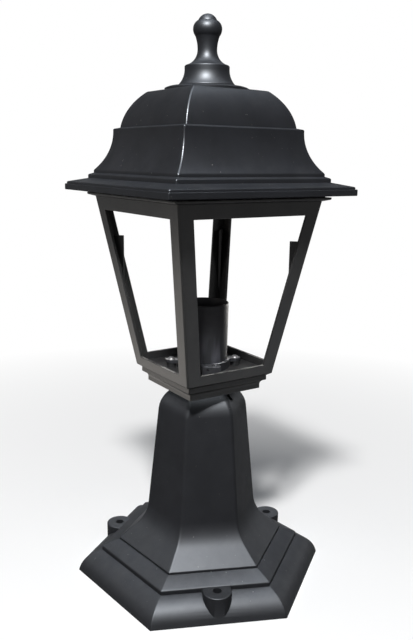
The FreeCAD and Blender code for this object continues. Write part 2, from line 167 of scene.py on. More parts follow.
def addBoolean(piece, tool, operation):
    cut = piece.modifiers.new(operation.lower(), "BOOLEAN")
    cut.operation = operation
    cut.solver = "EXACT"
    cut.object = tool


def applyAll(piece, *tools):
    # the modifiers become the mesh, and the cutting tools go
    bpy.context.view_layer.update()
    graph = bpy.context.evaluated_depsgraph_get()
    mesh = bpy.data.meshes.new_from_object(piece.evaluated_get(graph))
    old = piece.data
    piece.modifiers.clear()
    piece.data = mesh
    mesh.name = piece.name
    bpy.data.meshes.remove(old)
    for tool in tools:
        bpy.data.meshes.remove(tool.data)


def joinParts(piece, *parts):
    # meshes that were drawn in their places become one with the piece
    for bm in parts:
        bm.from_mesh(piece.data)
        bm.to_mesh(piece.data)
        bm.free()


def cleanMesh(piece, shadeAngle=32):
    bm = bmesh.new()
    bm.from_mesh(piece.data)
    bmesh.ops.remove_doubles(bm, verts=bm.verts, dist=near["clean"])
    bmesh.ops.dissolve_degenerate(bm, edges=bm.edges, dist=near["clean"])
    bm.to_mesh(piece.data)
    bm.free()
    piece.data.shade_smooth()
    piece.data.set_sharp_from_angle(angle=math.radians(shadeAngle))
    normals = piece.modifiers.new("flatFaces", "WEIGHTED_NORMAL")
    normals.keep_sharp = True


def dress(piece, slot, body, *replaced):
    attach(piece, body)
    if replaced:
        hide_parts(*replaced)


# Materials

def newMaterial(name):
    material = bpy.data.materials.new(name)
    material.use_nodes = True
    tree = material.node_tree
    return material, tree, tree.nodes["Principled BSDF"]


def addNode(tree, kind, **settings):
    node = tree.nodes.new(kind)
    for key, value in settings.items():
        if key in node.inputs:
            node.inputs[key].default_value = value
        else:
            setattr(node, key, value)
    return node


def objectPlace(tree):
    return addNode(tree, "ShaderNodeTexCoord").outputs["Object"]


def heightOf(tree, place):
    split = addNode(tree, "ShaderNodeSeparateXYZ")
    tree.links.new(place, split.inputs[0])
    return split.outputs["Z"]


def noise(tree, place, scale, detail=4.0, rough=0.5):
    node = addNode(tree, "ShaderNodeTexNoise", Scale=scale, Detail=detail, Roughness=rough)
    tree.links.new(place, node.inputs["Vector"])
    return node.outputs["Fac"]


def remap(tree, value, low, high, toLow=0.0, toHigh=1.0):
    node = addNode(tree, "ShaderNodeMapRange")
    tree.links.new(value, node.inputs["Value"])
    for index, number in enumerate((low, high, toLow, toHigh)):
        node.inputs[index + 1].default_value = number
    return node.outputs["Result"]


def multiply(tree, a, b):
    node = addNode(tree, "ShaderNodeMath", operation="MULTIPLY")
    tree.links.new(a, node.inputs[0])
    if isinstance(b, float):
        node.inputs[1].default_value = b
    else:
        tree.links.new(b, node.inputs[1])
    return node.outputs["Value"]


def mixColour(tree, share, a, b):
    node = addNode(tree, "ShaderNodeMix", data_type="RGBA")
    tree.links.new(share, node.inputs["Factor"])
    plugColour(tree, node.inputs[6], a)
    plugColour(tree, node.inputs[7], b)
    return node.outputs[2]


def plugColour(tree, socket, colour):
    if isinstance(colour, tuple):
        socket.default_value = colour + (1.0,)
    else:
        tree.links.new(colour, socket)


def addBump(tree, shader, height, distance, strength, below=None):
    bump = addNode(tree, "ShaderNodeBump", Strength=strength, Distance=distance)
    tree.links.new(height, bump.inputs["Height"])
    if below:
        tree.links.new(below, bump.inputs["Normal"])
    for socket in ("Normal", "Coat Normal"):
        tree.links.new(bump.outputs["Normal"], shader.inputs[socket])
    return bump.outputs["Normal"]


# noise sizes are in patterns per metre, depths in metres
roofLook = dict(dark=(0.0064, 0.0070, 0.0090), light=(0.0106, 0.0115, 0.0146), dustAndSheen=(0.17, 0.168, 0.16),
                dustAndSheenShare=0.05, dustAndSheenFoot=0.0, roughLow=0.36, roughHigh=0.50, specular=0.0, coat=0.155,
                coatRough=0.38, clouds=38.0, patches=60.0, specks=420.0, speckFrom=0.738, speckTo=0.778,
                speckShare=0.75, blotches=90.0, waves=55.0, waveDepth=0.0006, grain=1500.0,
                grainDepth=0.00012)
pedestalLook = dict(roofLook, dark=(0.0076, 0.0081, 0.0098), light=(0.0120, 0.0127, 0.0152), specular=0.004,
                    coat=0.082, coatRough=0.50)
finialLook = dict(roofLook, coat=0.125, coatRough=0.48)
# the frame's pale film on up-facing faces above the sill height is a painted highlight: sun glint on the sill
# tops and fin tops
frameLook = dict(roofLook, dark=(0.019, 0.0192, 0.020), light=(0.027, 0.0272, 0.028), dustAndSheen=(0.42, 0.42, 0.41),
                 dustAndSheenShare=0.9, dustAndSheenFoot=0.207, coat=0.24, coatRough=0.30)
# the collar's pale film on its up-facing faces is a painted highlight where the rim catches the sun
collarLook = dict(roofLook, dark=(0.007, 0.007, 0.009), light=(0.011, 0.011, 0.013), dustAndSheen=(0.42, 0.42, 0.43),
                  dustAndSheenShare=0.9, coat=0.28, coatRough=0.46)


def housingPlastic(name, look):
    material, tree, shader = newMaterial(name)
    place = objectPlace(tree)
    clouds = noise(tree, place, look["clouds"], 5.0, 0.6)
    colour = mixColour(tree, remap(tree, clouds, 0.3, 0.7), look["dark"], look["light"])
    # a pale film on what faces up, in patches: real dust on roof, pedestal and finial, but a painted
    # highlight on the frame's sill tops and the collar's top; a few pale dust specks too
    normal = addNode(tree, "ShaderNodeNewGeometry").outputs["Normal"]
    split = addNode(tree, "ShaderNodeSeparateXYZ")
    tree.links.new(normal, split.inputs[0])
    facesUp = remap(tree, split.outputs["Z"], 0.15, 0.95)
    patches = remap(tree, noise(tree, place, look["patches"], 6.0, 0.7), 0.40, 0.72)
    dustAndSheenShare = multiply(tree, multiply(tree, facesUp, patches), look["dustAndSheenShare"])
    aboveFoot = remap(tree, heightOf(tree, place), look["dustAndSheenFoot"] - mm, look["dustAndSheenFoot"])
    colour = mixColour(tree, multiply(tree, dustAndSheenShare, aboveFoot), colour, look["dustAndSheen"])
    specks = remap(tree, noise(tree, place, look["specks"], 2.0, 0.5), look["speckFrom"], look["speckTo"])
    notBelow = remap(tree, split.outputs["Z"], -0.1, 0.5)
    specks = multiply(tree, multiply(tree, specks, notBelow), look["speckShare"])
    colour = mixColour(tree, specks, colour, look["dustAndSheen"])
    tree.links.new(colour, shader.inputs["Base Color"])
    blotches = noise(tree, place, look["blotches"], 5.0, 0.6)
    rough = remap(tree, blotches, 0.3, 0.7, look["roughLow"], look["roughHigh"])
    tree.links.new(rough, shader.inputs["Roughness"])
    shader.inputs["Specular IOR Level"].default_value = look["specular"]
    shader.inputs["Coat Weight"].default_value = look["coat"]
    shader.inputs["Coat Roughness"].default_value = look["coatRough"]
    grain = noise(tree, place, look["grain"], 3.0, 0.6)
    waves = noise(tree, place, look["waves"], 2.0, 0.4)
    wavy = addBump(tree, shader, waves, look["waveDepth"], 0.20)
    addBump(tree, shader, grain, look["grainDepth"], 0.28, wavy)
    return material


smooth = dict(clouds=130.0, blotches=210.0, grain=1800.0, grainDepth=0.00008)


def smoothPlastic(name, colour, paler, rough, specular=0.45, coat=0.0, coatRough=0.4):
    material, tree, shader = newMaterial(name)
    place = objectPlace(tree)
    share = remap(tree, noise(tree, place, smooth["clouds"], 5.0, 0.6), 0.35, 0.7)
    tree.links.new(mixColour(tree, share, colour, paler), shader.inputs["Base Color"])
    blotches = remap(tree, noise(tree, place, smooth["blotches"]), 0.3, 0.7, rough - 0.06, rough + 0.08)
    tree.links.new(blotches, shader.inputs["Roughness"])
    shader.inputs["Specular IOR Level"].default_value = specular
    shader.inputs["Coat Weight"].default_value = coat
    shader.inputs["Coat Roughness"].default_value = coatRough
    addBump(tree, shader, noise(tree, place, smooth["grain"], 2.0), smooth["grainDepth"], 0.2)
    return material


# painted sheen on the foot of the sleeve, pale bluish streaks where light falls
sheenStreaks = dict(colour=(0.095, 0.096, 0.115), share=0.75, foot=0.214, top=0.240, size=95.0, stretch=0.16)


def paintSheenStreaks(material, p):
    # painted sheen: pale bluish upright streaks that fade out up the sleeve, standing in for light on its
    # lower part
    tree = material.node_tree
    shader = tree.nodes["Principled BSDF"]
    place = objectPlace(tree)
    drawn = addNode(tree, "ShaderNodeMapping", Scale=(1, 1, p["stretch"]))
    tree.links.new(place, drawn.inputs["Vector"])
    sheenMarks = remap(tree, noise(tree, drawn.outputs["Vector"], p["size"], 2.0), 0.46, 0.64)
    fade = remap(tree, heightOf(tree, place), p["top"], p["foot"])
    share = multiply(tree, multiply(tree, sheenMarks, fade), p["share"])
    clean = shader.inputs["Base Color"].links[0].from_socket
    tree.links.new(mixColour(tree, share, clean, p["colour"]), shader.inputs["Base Color"])


metal = dict(stains=320.0, blotches=700.0, grain=2600.0, grainDepth=0.00005)


def bareMetal(name, colour, dull, rough):
    material, tree, shader = newMaterial(name)
    place = objectPlace(tree)
    share = remap(tree, noise(tree, place, metal["stains"], 6.0, 0.65), 0.35, 0.7)
    tree.links.new(mixColour(tree, share, colour, dull), shader.inputs["Base Color"])
    blotches = remap(tree, noise(tree, place, metal["blotches"]), 0.3, 0.7, rough - 0.08, rough + 0.12)
    tree.links.new(blotches, shader.inputs["Roughness"])
    shader.inputs["Metallic"].default_value = 1.0
    addBump(tree, shader, noise(tree, place, metal["grain"], 3.0), metal["grainDepth"], 0.25)
    return material


roofBlack = housingPlastic("roofPlastic", roofLook)
pedestalBlack = housingPlastic("pedestalPlastic", pedestalLook)
finialBlack = housingPlastic("finialPlastic", finialLook)
frameBlack = housingPlastic("framePlastic", frameLook)     # the head has more gloss than roof and pedestal
holderBlack = smoothPlastic("holderPlastic", (0.007, 0.007, 0.009), (0.011, 0.011, 0.013), 0.30, specular=0.0,
                            coat=0.28, coatRough=0.46)
paintSheenStreaks(holderBlack, sheenStreaks)
collarBlack = housingPlastic("collarPlastic", collarLook)
zinc = bareMetal("zincSteel", (0.42, 0.42, 0.44), (0.28, 0.28, 0.29), 0.42)
brass = bareMetal("contactBrass", (0.72, 0.53, 0.25), (0.48, 0.34, 0.16), 0.32)
capMetal = bareMetal("capMetal", (0.76, 0.76, 0.77), (0.55, 0.55, 0.56), 0.26)
paleMoulding = smoothPlastic("insulatorPlastic", (0.62, 0.59, 0.53), (0.50, 0.47, 0.41), 0.55)
blockPlastic = smoothPlastic("blockPlastic", (0.016, 0.016, 0.019), (0.026, 0.026, 0.030), 0.30, 0.35)
brownLead = smoothPlastic("brownLead", (0.14, 0.06, 0.03), (0.18, 0.08, 0.04), 0.38)
blueLead = smoothPlastic("blueLead", (0.05, 0.14, 0.42), (0.07, 0.18, 0.48), 0.38)
print("materials made")


# Pedestal: six-sided hollow moulding with three screw lugs

pedestal = dict(base=103.9, skirt=84.2, skirtTop=19.7, skirtRadius=25.0, stepTop=23.7, ledge=70.0,
                ledgeTop=30.0, ledgeRadius=80.0, flare=69.4, flareFoot=31.7, root=46.7, rootHeight=52.9,
                flareBlend=34.0, crown=35.0, top=184.3, shoulder=24.0, wall=2.6, ceiling=3.0, turn=5.94,
                hole=5.25, padRadius=12.5, padFoot=178.3, ventWidth=4.5, ventHeight=5.0, ventDrop=5.0,
                ventAngle=-76.7, ventReach=35.0, ventLength=40.0)
pedestalEdges = dict(width=3.0, hipSoft=0.22, hipFrom=45.0, hipOver=50.0, step=0.32, others=0.16)
lug = dict(count=3, reach=90.0, radius=12.8, hole=4.0, tail=17.4, edge=0.9, drill=80.0)


def blendEnds(before, corner, after, radius):
    # where a rounding of this radius leaves the two straight runs at a corner
    middle = Vector(corner)
    toBefore = (Vector(before) - middle).normalized()
    toAfter = (Vector(after) - middle).normalized()
    length = radius / math.tan(toBefore.angle(toAfter) / 2)
    return tuple(middle + toBefore * length), tuple(middle + toAfter * length)


def pedestalOutline(p):
    foot, root, crown = (p["flare"], p["flareFoot"]), (p["root"], p["rootHeight"]), (p["crown"], p["top"])
    rootIn, rootOut = blendEnds(foot, root, crown, p["flareBlend"])
    crownIn, crownOut = blendEnds(root, crown, (0, p["top"]), p["shoulder"])
    return [(p["base"], 0), (p["skirt"], p["skirtTop"], p["skirtRadius"]), (p["skirt"], p["stepTop"]),
            (p["ledge"], p["ledgeTop"], p["ledgeRadius"]), (p["flare"], p["ledgeTop"]), foot, rootIn,
            rootOut + (-p["flareBlend"],), crownIn, crownOut + (p["shoulder"],)]


def pedestalShell(p, edges):
    outer = pedestalOutline(p)
    throat = [(p["hole"], p["top"]), (p["hole"], p["top"] - p["ceiling"])]
    bm = drawOutline(outer + throat + hollowOutline(outer, p["wall"], p["ceiling"]))
    spinSides(bm, 6, p["turn"] + 30)
    cutBelow(bm, 0)                         # the moved outline starts under the ground
    climb = lambda height: min(max((height - edges["hipFrom"]) / edges["hipOver"], 0), 1)
    weighEdges(bm, lambda height: edges["hipSoft"] + (1 - edges["hipSoft"]) * climb(height),
               lambda height: edges["step"] if abs(height - p["stepTop"]) < 1 else edges["others"])
    return makeObject("pedestal_shell", bm, pedestalBlack)


def pedestalLugs(p, top, turn):
    # the rounded outline of the top is drawn, filled and extruded down to the ground
    bm = bmesh.new()
    side = bm.verts.new((p["reach"] * mm, -p["radius"] * mm, top * mm))
    bmesh.ops.spin(bm, geom=[side], cent=(p["reach"] * mm, 0, 0), axis=(0, 0, 1), angle=math.pi, steps=24)
    ends = [vert for vert in bm.verts if abs(abs(vert.co.y) - p["radius"] * mm) < near["merge"]]
    tails = bmesh.ops.extrude_vert_indiv(bm, verts=ends)["verts"]
    bmesh.ops.translate(bm, vec=(-p["tail"] * mm, 0, 0), verts=tails)
    bm.edges.new(tails)
    face = bmesh.ops.contextual_create(bm, geom=bm.edges[:])["faces"]
    rim = bm.edges[:]
    walls = bmesh.ops.extrude_face_region(bm, geom=face)["geom"]
    bmesh.ops.translate(bm, vec=(0, 0, -top * mm), verts=vertsOf(walls))
    bmesh.ops.recalc_face_normals(bm, faces=bm.faces)
    upper = [edge for edge in rim if edge.is_valid]
    bmesh.ops.bevel(bm, geom=upper, offset=p["edge"] * mm, offset_type="OFFSET", affect="EDGES", segments=3,
                    profile=0.5, material=-1)
    repeatRound(bm, p["count"], turn)
    return makeObject("lugs", bm, pedestalBlack)


def pedestalCuts(p, holes):
    bm = bmesh.new()
    bmesh.ops.create_cone(bm, cap_ends=True, segments=32, radius1=holes["hole"] * mm,
                          radius2=holes["hole"] * mm, depth=holes["drill"] * mm)
    bmesh.ops.translate(bm, vec=(holes["reach"] * mm, 0, 0), verts=bm.verts)
    repeatRound(bm, holes["count"], p["turn"])
    slot = bmesh.ops.create_cube(bm, size=1.0)["verts"]
    bmesh.ops.scale(bm, vec=(p["ventLength"] * mm, p["ventWidth"] * mm, p["ventHeight"] * mm), verts=slot)
    height = p["top"] - p["ventDrop"] - p["ventHeight"] / 2
    bmesh.ops.translate(bm, vec=(p["ventReach"] * mm, 0, height * mm), verts=slot)
    turn = Matrix.Rotation(math.radians(p["ventAngle"] + p["turn"]), 3, "Z")
    bmesh.ops.rotate(bm, matrix=turn, verts=slot)
    return makeObject("pedestalCuts", bm, pedestalBlack)


def buildPedestal(p):
    shell = pedestalShell(p, pedestalEdges)
    addBevel(shell, pedestalEdges["width"], 5)
    applyAll(shell)
    lugs, cuts = pedestalLugs(lug, p["stepTop"], p["turn"]), pedestalCuts(p, lug)
    addBoolean(shell, lugs, "UNION")
    addBoolean(shell, cuts, "DIFFERENCE")
    applyAll(shell, lugs, cuts)
    pad = drawOutline([(p["hole"], p["padFoot"]), (p["padRadius"], p["padFoot"]),
                       (p["padRadius"], p["top"] - p["ceiling"]), (p["hole"], p["top"] - p["ceiling"])])
    spinRound(pad, 48)
    joinParts(shell, pad)
    cleanMesh(shell)
    dress(shell, "housing_plastic", "lantern", "pedestal")
    print("pedestal", len(shell.data.polygons), "faces")


buildPedestal(pedestal)


# Roof: four-sided tiered shell with a round boss, a seat wall and a spigot wall

roof = dict(eave=94.1, eaveFoot=362.2, eaveRim=5.4, eaveStep=1.4, pitchFoot=369.6, collar=78.0,
            collarFoot=373.0, collarTop=376.3, flare=74.1, flareBase=377.8, flareStart=380.2,
            flareRadius=50.0, cornice=60.6, corniceFoot=414.0, corniceTop=416.5, dome=55.9, domeFoot=417.6,
            domeTopHalf=38.2, domeTop=448.2, domeRadius=49.0, cap=23.6, capTop=450.37, wall=2.4, seat=74.7,
            seatFoot=360.4, seatTop=375.0, spigot=69.67, spigotFoot=354.4, spigotTop=384.2, bossRoot=446.0,
            bossFoot=36.6, bossEdge=450.2, bossTop=452.0, bossTopRadius=30.0, bossRadius=14.0, hole=3.25,
            bevel=1.25, hipShare=1.0, edgeShare=0.6)


def roofOutline(p):
    return [(p["eave"], p["eaveFoot"]), (p["eave"], p["eaveFoot"] + p["eaveRim"]),
            (p["eave"] - p["eaveStep"], p["eaveFoot"] + p["eaveRim"]),
            (p["eave"] - p["eaveStep"], p["pitchFoot"]),
            (p["collar"], p["collarFoot"]), (p["collar"], p["collarTop"]), (p["flare"], p["flareBase"]),
            (p["flare"], p["flareStart"]), (p["cornice"], p["corniceFoot"], -p["flareRadius"]),
            (p["cornice"], p["corniceTop"]), (p["dome"], p["domeFoot"]),
            (p["domeTopHalf"], p["domeTop"], p["domeRadius"]), (p["cap"], p["capTop"])]


def squareWall(half, wall, low, high):
    bm = drawOutline([(half - wall, low), (half, low), (half, high), (half - wall, high)])
    spinSides(bm, 4, 45)
    return bm


def roofBoss(p):
    # a round cup turned upside down, let into the flat top, with a hole for the stud
    inner, ceiling = p["bossFoot"] - p["wall"], p["bossTop"] - p["wall"]
    bm = drawOutline([(p["bossFoot"], p["bossRoot"]), (p["bossFoot"], p["bossEdge"]),
                      (p["bossTopRadius"], p["bossTop"], p["bossRadius"]), (p["hole"], p["bossTop"]),
                      (p["hole"], ceiling), (p["bossTopRadius"] - p["wall"], ceiling),
                      (inner, p["bossEdge"] - p["wall"], -p["bossRadius"]), (inner, p["bossRoot"])])
    spinRound(bm, 96)
    return bm


def buildRoof(p):
    outer = roofOutline(p)
    bm = drawOutline(outer + hollowOutline(outer, p["wall"], p["wall"]), 14)
    spinSides(bm, 4, 45)
    cutBelow(bm, p["eaveFoot"])
    weighEdges(bm, lambda height: p["hipShare"], lambda height: p["edgeShare"])
    shell = makeObject("roof_cover", bm, roofBlack)
    addBevel(shell, p["bevel"], 4)
    applyAll(shell)
    seat = squareWall(p["seat"], p["wall"], p["seatFoot"], p["seatTop"])
    spigot = squareWall(p["spigot"], p["wall"], p["spigotFoot"], p["spigotTop"])
    joinParts(shell, roofBoss(p), seat, spigot)
    cleanMesh(shell)
    dress(shell, "housing_plastic", "roof", "roof_shell")
    print("roof", len(shell.data.polygons), "faces")


buildRoof(roof)


# Finial: one turned form

finial = dict(foot=452.0, footRadius=24.8, rimTop=453.2, bellTop=465.0, bellRadius=18.0, bellHalf=19.4,
              edgeTop=468.4, shoulder=2.0, neckFoot=469.6, neckFootRadius=17.8, neck=482.1, neckRadius=8.4,
              throat=493.2, ballFoot=10.4, ball=498.9, ballRadius=12.4, ballTop=505.4, ballTopRadius=8.8,
              crease=0.6, tip=511.2, hole=3.1, holeTop=470.0, pole=0.01, poleMerge=0.03, bevel=0.35)


def tangentRadius(depth, length):
    # an arc that starts along a run of this length and ends this depth off it
    return (depth ** 2 + length ** 2) / (2 * depth)


def buildFinial(p):
    tipRadius = p["ballTopRadius"] - p["crease"]
    lowerNeck = tangentRadius(p["neckFootRadius"] - p["neckRadius"], p["neck"] - p["neckFoot"])
    throat = tangentRadius(p["ballFoot"] - p["neckRadius"], p["throat"] - p["neck"])
    lowerBall = tangentRadius(p["ballRadius"] - p["ballFoot"], p["ball"] - p["throat"])
    upperBall = tangentRadius(p["ballRadius"] - p["ballTopRadius"], p["ballTop"] - p["ball"])
    tip = tangentRadius(p["tip"] - p["ballTop"], tipRadius)
    bm = drawOutline([(p["pole"], p["holeTop"]), (p["hole"], p["holeTop"]), (p["hole"], p["foot"]),
                      (p["footRadius"], p["foot"]), (p["footRadius"], p["rimTop"]),
                      (p["bellHalf"], p["bellTop"], -p["bellRadius"]), (p["bellHalf"], p["edgeTop"]),
                      (p["neckFootRadius"], p["neckFoot"], p["shoulder"]),
                      (p["neckRadius"], p["neck"], -lowerNeck), (p["ballFoot"], p["throat"], -throat),
                      (p["ballRadius"], p["ball"], lowerBall), (p["ballTopRadius"], p["ballTop"], upperBall),
                      (tipRadius, p["ballTop"]), (p["pole"], p["tip"], tip)], 12)
    spinRound(bm, 96)
    bmesh.ops.remove_doubles(bm, verts=bm.verts, dist=p["poleMerge"] * mm)
    weighEdges(bm, lambda height: 0.0, lambda height: 1.0 if height < p["neckFoot"] else 0.0)
    piece = makeObject("finial_turned", bm, finialBlack)
    addBevel(piece, p["bevel"], 2)
    applyAll(piece)
    cleanMesh(piece, 40)
    dress(piece, "housing_plastic", "roof", "finial")
    print("finial", len(piece.data.polygons), "faces")


buildFinial(finial)


# Lantern frame: leaning walls with four windows, on a tray with coved bands

lantern = dict(plinth=38.0, foot=184.3, plinthTop=187.6, cove=4.9, band=42.4, bandFoot=192.8, bandTop=197.3,
               wallFootHalf=46.3, wallFoot=199.8, wallTopHalf=73.3, wallTop=356.9, wall=2.6, post=13.9,
               sill=209.2, head=345.1, lip=79.0, lipFoot=358.5, lipTop=360.4, floorTop=202.3, boss=12.0,
               bore=5.25, finTop=321.5, finReach=76.5, finThick=2.4, finEdge=0.4, pillar=4.5, pillarRise=4.2,
               pillarSink=1.0, earReach=30.0, earAngle=-25.0, bevel=1.9, postHips=1.0, trayHips=0.4,
               edgeShare=0.28)


def wallHalf(p, height):
    lean = (p["wallTopHalf"] - p["wallFootHalf"]) / (p["wallTop"] - p["wallFoot"])
    return p["wallFootHalf"] + lean * (height - p["wallFoot"])


def frameWalls(p):
    inside = lambda height: (wallHalf(p, height) - p["wall"], height)
    outside = lambda height: (wallHalf(p, height), height)
    section = [(p["plinth"], p["foot"]), (p["plinth"], p["plinthTop"]),
               (p["band"], p["bandFoot"], -p["cove"]), (p["band"], p["bandTop"]),
               outside(p["wallFoot"]), outside(p["sill"]), outside(p["head"]),
               outside(p["wallTop"]), (p["lip"], p["lipFoot"]), (p["lip"], p["lipTop"]),
               (p["wallTopHalf"] - p["wall"], p["lipTop"]), inside(p["wallTop"]), inside(p["head"]),
               inside(p["sill"]), inside(p["floorTop"]), (p["bore"], p["floorTop"]), (p["bore"], p["foot"]),
               (p["boss"], p["foot"]), (p["boss"], p["wallFoot"]), (p["band"] - p["wall"], p["wallFoot"]),
               (p["band"] - p["wall"], p["bandFoot"]), (p["plinth"] - p["wall"], p["plinthTop"]),
               (p["plinth"] - p["wall"], p["foot"])]
    bm = drawOutline(section)
    spinSides(bm, 4, 45)
    for quarter in range(4):
        cutWindow(bm, p, quarter)
    bmesh.ops.recalc_face_normals(bm, faces=bm.faces)
    return bm


def windowFaces(bm, p, turn):
    # the outer and the inner wall between sill and head on the side that faces this way
    found = []
    for face in bm.faces:
        centre = turn @ face.calc_center_median()
        band = p["sill"] * mm < centre.z < p["head"] * mm and centre.y < 0
        if band and abs((turn @ face.normal).y) > 0.9:
            found.append(face)
    return found


def cutWindow(bm, p, quarter):
    turn = Matrix.Rotation(-math.pi / 2 * quarter, 3, "Z")
    back = turn.inverted()
    low = Vector((wallHalf(p, p["sill"]) - p["post"], 0, p["sill"])) * mm
    high = Vector((wallHalf(p, p["head"]) - p["post"], 0, p["head"])) * mm
    for side in (-1, 1):
        mirror = Vector((side, 1, 1))
        along = (high - low) * mirror
        normal = along.cross(Vector((0, 1, 0)))
        faces = windowFaces(bm, p, turn)
        geom = faces + list({e for f in faces for e in f.edges}) + list({v for f in faces for v in f.verts})
        bmesh.ops.bisect_plane(bm, geom=geom, plane_co=back @ (low * mirror), plane_no=back @ normal)
    offCentre = lambda face: abs((turn @ face.calc_center_median()).x)
    middle = [face for face in windowFaces(bm, p, turn) if offCentre(face) < p["post"] * mm]
    bmesh.ops.delete(bm, geom=middle, context="FACES")
    bmesh.ops.bridge_loops(bm, edges=[edge for edge in bm.edges if edge.is_boundary])


def cornerFins(p):
    # a thin upright web in each corner, its top level and its inner edge plumb
    bm = bmesh.new()
    diagonal = math.sqrt(2)
    buried = lambda height: (wallHalf(p, height) - p["wall"] / 2) * diagonal
    lean = (buried(p["finTop"]) - buried(p["wallFoot"])) / (p["finTop"] - p["wallFoot"])
    low = p["wallFoot"] + (p["finReach"] - buried(p["wallFoot"])) / lean
    corners = [(p["finReach"], low), (buried(p["finTop"]), p["finTop"]), (p["finReach"], p["finTop"])]
    verts = [bm.verts.new((half * mm, -p["finThick"] / 2 * mm, height * mm)) for half, height in corners]
    face = bm.faces.new(verts)
    made = bmesh.ops.extrude_face_region(bm, geom=[face])["geom"]
    bmesh.ops.translate(bm, vec=(0, p["finThick"] * mm, 0), verts=vertsOf(made))
    bmesh.ops.recalc_face_normals(bm, faces=bm.faces)
    bmesh.ops.bevel(bm, geom=bm.edges[:], offset=p["finEdge"] * mm, offset_type="OFFSET", affect="EDGES",
                    segments=2, profile=0.5, material=-1)
    repeatRound(bm, 4, 45)
    return bm


def earPillars(p):
    bm = bmesh.new()
    depth = p["pillarRise"] + p["pillarSink"]
    height = p["floorTop"] + p["pillarRise"] - depth / 2
    for side in (0, 180):
        turn = Matrix.Rotation(math.radians(p["earAngle"] + side), 3, "Z")
        post = bmesh.ops.create_cone(bm, cap_ends=True, segments=40, radius1=p["pillar"] * mm,
                                     radius2=p["pillar"] * mm, depth=depth * mm)["verts"]
        bmesh.ops.translate(bm, vec=turn @ Vector((p["earReach"], 0, height)) * mm, verts=post)
    return bm


def buildFrame(p):
    bm = frameWalls(p)
    weighEdges(bm, lambda height: p["postHips"] if height > p["wallFoot"] else p["trayHips"],
               lambda height: p["edgeShare"])
    piece = makeObject("lantern_walls", bm, frameBlack)
    addBevel(piece, p["bevel"], 4)
    applyAll(piece)
    joinParts(piece, cornerFins(p), earPillars(p))
    cleanMesh(piece)
    dress(piece, "housing_plastic", "lantern", "lantern_frame")
    print("frame", len(piece.data.polygons), "faces")


buildFrame(lantern)


# Lamp holder: plain tube on a collar, with a rolled screw shell inside

holder = dict(tubeFoot=209.5, tubeTop=263.0, footRadius=22.0, topRadius=22.8, bore=19.4, rim=0.8, mouth=21.5,
              mouthFoot=256.0, shellFoot=219.5, shellTop=244.5, shellRadius=14.3, shellWall=0.7, flange=19.2,
              threadFoot=230.0, pitch=3.6, threadDepth=0.9, threadWall=0.4, turnSteps=40, turnMerge=0.01)


def buildTube(p):
    bm = drawOutline([(p["footRadius"], p["tubeFoot"]), (p["topRadius"], p["tubeTop"] - p["rim"]),
                      (p["topRadius"] - p["rim"], p["tubeTop"], p["rim"]), (p["mouth"], p["tubeTop"]),
                      (p["bore"], p["mouthFoot"]), (p["bore"], p["tubeFoot"])], 5)
    spinRound(bm, 96)
    piece = makeObject("holder_tube", bm, holderBlack)
    cleanMesh(piece)
    dress(piece, "holder_plastic", "lantern", "holder_sleeve")


def rolledThread(p):
    # one wave of the wall is swept up round the axis, then cut level at both ends
    trough, crest = p["shellRadius"] - p["threadDepth"], p["shellRadius"]
    waist, low = (trough + crest) / 2, p["threadFoot"] - p["pitch"]
    turns, steps = math.ceil((p["shellTop"] - low) / p["pitch"]) + 1, p["turnSteps"]
    bm = drawOutline([(trough, low), (waist, low + p["pitch"] / 4), (crest, low + p["pitch"] / 2),
                      (waist, low + p["pitch"] * 3 / 4), (trough, low + p["pitch"])], closed=False)
    bmesh.ops.spin(bm, geom=bm.verts[:] + bm.edges[:], axis=(0, 0, 1), angle=math.tau * turns,
                   steps=steps * turns, dvec=(0, 0, p["pitch"] * mm / steps))
    bmesh.ops.remove_doubles(bm, verts=bm.verts, dist=p["turnMerge"] * mm)
    for height, side in ((p["threadFoot"], -1), (p["shellTop"], 1)):
        bmesh.ops.bisect_plane(bm, geom=allOf(bm), plane_co=(0, 0, height * mm), plane_no=(0, 0, side),
                               clear_outer=True)
    bmesh.ops.recalc_face_normals(bm, faces=bm.faces)
    bmesh.ops.solidify(bm, geom=bm.faces[:], thickness=p["threadWall"] * mm)
    return bm


def buildShell(p):
    inner = p["shellRadius"] - p["shellWall"]
    flangeTop = p["shellFoot"] + p["shellWall"]
    bm = drawOutline([(p["flange"], p["shellFoot"]), (p["flange"], flangeTop),
                      (p["shellRadius"], flangeTop), (p["shellRadius"], p["threadFoot"]),
                      (inner, p["threadFoot"]), (inner, p["shellFoot"])])
    spinRound(bm, 64)
    piece = makeObject("screw_shell", bm, capMetal)
    joinParts(piece, rolledThread(p))
    cleanMesh(piece, 50)
    dress(piece, "cap_metal", "lantern", "cap_shell")
    print("screw shell", len(piece.data.polygons), "faces")


soften = dict(merge=0.005, flat=1, sharp=40)        # millimetres and degrees


def softCopy(name, node, slot, material, width):
    # the solid's own mesh, merged, with its edges softened
    bm = bmesh.new()
    bm.from_mesh(nodes[node].data)
    bmesh.ops.remove_doubles(bm, verts=bm.verts, dist=soften["merge"] * mm)
    bmesh.ops.dissolve_limit(bm, angle_limit=math.radians(soften["flat"]), verts=bm.verts, edges=bm.edges)
    weighEdges(bm, lambda height: 1.0, lambda height: 1.0, soften["sharp"])
    piece = makeObject(name, bm, material)
    addBevel(piece, width, 3, clamp=True)
    applyAll(piece)
    cleanMesh(piece, soften["sharp"])
    dress(piece, slot, "lantern", node)
    print(name, len(piece.data.polygons), "faces")


buildTube(holder)
buildShell(holder)
softCopy("holder_collar", "holder_base", "holder_plastic", collarBlack, 0.7)
softCopy("connector_block", "terminal_block", "block_plastic", blockPlastic, 0.6)
softCopy("ear_screw_pair", "ear_screws", "zinc_steel", zinc, 0.2)


# Materials on the solids that stay as they are

